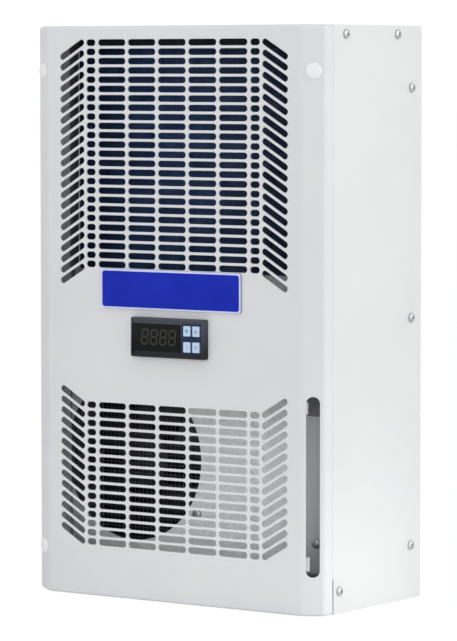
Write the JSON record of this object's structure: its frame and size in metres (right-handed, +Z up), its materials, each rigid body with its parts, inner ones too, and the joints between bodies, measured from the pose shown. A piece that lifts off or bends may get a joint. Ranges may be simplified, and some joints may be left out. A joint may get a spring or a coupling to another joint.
{
  "type": "cabinet air conditioner",
  "caption": "Side-mounted air conditioner for an electrical cabinet: sheet-steel box with slotted front grilles, blank nameplate and a panel temperature controller.",
  "frame": {"origin": "on the floor under the middle of the unit's box", "axes": "+X to the right seen from the front, +Y from the front to the back, +Z up"},
  "size_m": [0.304, 0.168, 0.5],
  "materials": {
    "grey_paint": "satin powder coat",
    "side_paint": "satin powder coat",
    "galvanised": "matt zinc coat",
    "black_mesh": "matt black",
    "black_fan": "matt",
    "blue_fins": "blue coated fins",
    "bare_fins": "bare rolled sheet",
    "black_foam": "foam faced",
    "plate_border": "bright bevelled edge",
    "plate_field": "gloss enamel",
    "black_plastic": "fine texture",
    "dark_lens": "gloss",
    "key_blue": "satin",
    "white_plastic": "satin"
  },
  "bodies": {
    "housing": {"front_cover": "grey_paint", "left_side_panel": "side_paint", "right_side_panel": "side_paint", "top_panel": "side_paint", "bottom_panel": "side_paint", "back_plate": "side_paint", "fan_plate": "galvanised", "fan_mesh": "black_mesh", "fan_bracket": "black_fan", "fan_rotor": "black_fan", "condenser_fins": "blue_fins", "condenser_left_end": "galvanised", "condenser_right_end": "galvanised", "partition": "black_foam", "evaporator_fins": "bare_fins", "nameplate": "plate_border", "nameplate_field": "plate_field", "controller_bezel": "black_plastic", "controller_window": "dark_lens", "controller_body": "black_plastic", "cap_right_upper": "white_plastic", "cap_left_upper": "white_plastic", "cap_left_lower": "white_plastic"},
    "key_upper_left": {"key_upper_left": "key_blue"},
    "key_upper_right": {"key_upper_right": "key_blue"},
    "key_lower_left": {"key_lower_left": "key_blue"},
    "key_lower_right": {"key_lower_right": "key_blue"}
  },
  "joints": [
    {"name": "key_upper_left_press", "type": "slide", "parent": "housing", "child": "key_upper_left", "axis": [0, 1, 0], "range_m": [0, 0.0008], "stiffness_N_per_m": 800},
    {"name": "key_upper_right_press", "type": "slide", "parent": "housing", "child": "key_upper_right", "axis": [0, 1, 0], "range_m": [0, 0.0008], "stiffness_N_per_m": 800},
    {"name": "key_lower_left_press", "type": "slide", "parent": "housing", "child": "key_lower_left", "axis": [0, 1, 0], "range_m": [0, 0.0008], "stiffness_N_per_m": 800},
    {"name": "key_lower_right_press", "type": "slide", "parent": "housing", "child": "key_lower_right", "axis": [0, 1, 0], "range_m": [0, 0.0008], "stiffness_N_per_m": 800}
  ]
}
